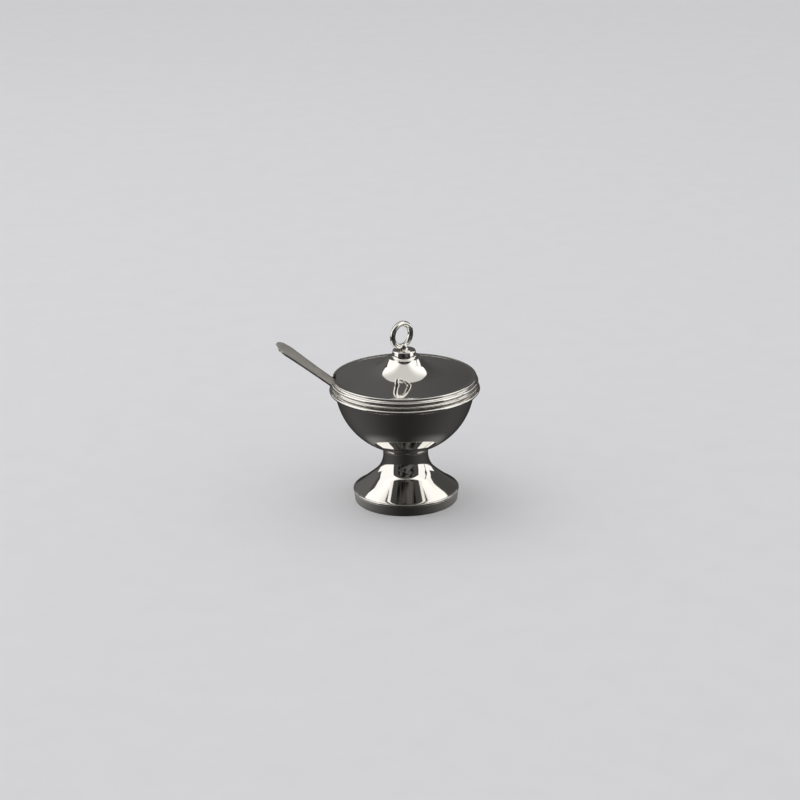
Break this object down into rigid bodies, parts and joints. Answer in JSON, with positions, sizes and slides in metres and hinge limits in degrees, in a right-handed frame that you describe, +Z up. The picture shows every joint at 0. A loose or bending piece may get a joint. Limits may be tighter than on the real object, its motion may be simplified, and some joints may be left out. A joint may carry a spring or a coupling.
{
  "type": "covered sugar bowl with spoon",
  "caption": "Round metal bowl on a flared foot, with a moulded rim, a domed lid topped by an upright ring, and a spoon that leaves through a notch in the lid.",
  "frame": {"origin": "middle of the foot's resting ring, on the table", "axes": "+Z up through the foot, bowl and ring; -Y towards the viewer of the front; the spoon leaves over the rim on the -X side, heading 20 degrees behind -X"},
  "size_m": [0.1302, 0.0962, 0.1197],
  "materials": {
    "polished_silver": "mirror-polished silver, spun and turned",
    "finial_silver": "mirror-polished silver, turned and cast",
    "fixing_metal": "plain turned metal, hidden under the lid",
    "spoon_satin": "satin-brushed flat with a bright edge"
  },
  "bodies": {
    "bowl": {"foot_band": "polished_silver", "foot_lip": "polished_silver", "foot_skirt": "polished_silver", "stem_collar": "polished_silver", "bowl_shell": "polished_silver", "bowl_rim_bead": "polished_silver"},
    "lid": {"lid_dome": "polished_silver", "lid_rim_moulding": "polished_silver", "lid_bezel": "polished_silver", "finial_drum": "finial_silver", "finial_neck": "finial_silver", "finial_ring": "finial_silver", "finial_stud": "fixing_metal", "finial_washer": "fixing_metal", "finial_nut": "fixing_metal"},
    "spoon": {"sugar_spoon": "spoon_satin"}
  },
  "joints": [
    {"name": "lid_lift", "type": "slide", "parent": "bowl", "child": "lid", "axis": [0, 0, 1], "range_m": [0, 0.12]},
    {"name": "spoon_draw", "type": "slide", "parent": "bowl", "child": "spoon", "axis": [-0.8055, 0.2932, 0.515], "range_m": [0, 0.02]}
  ]
}
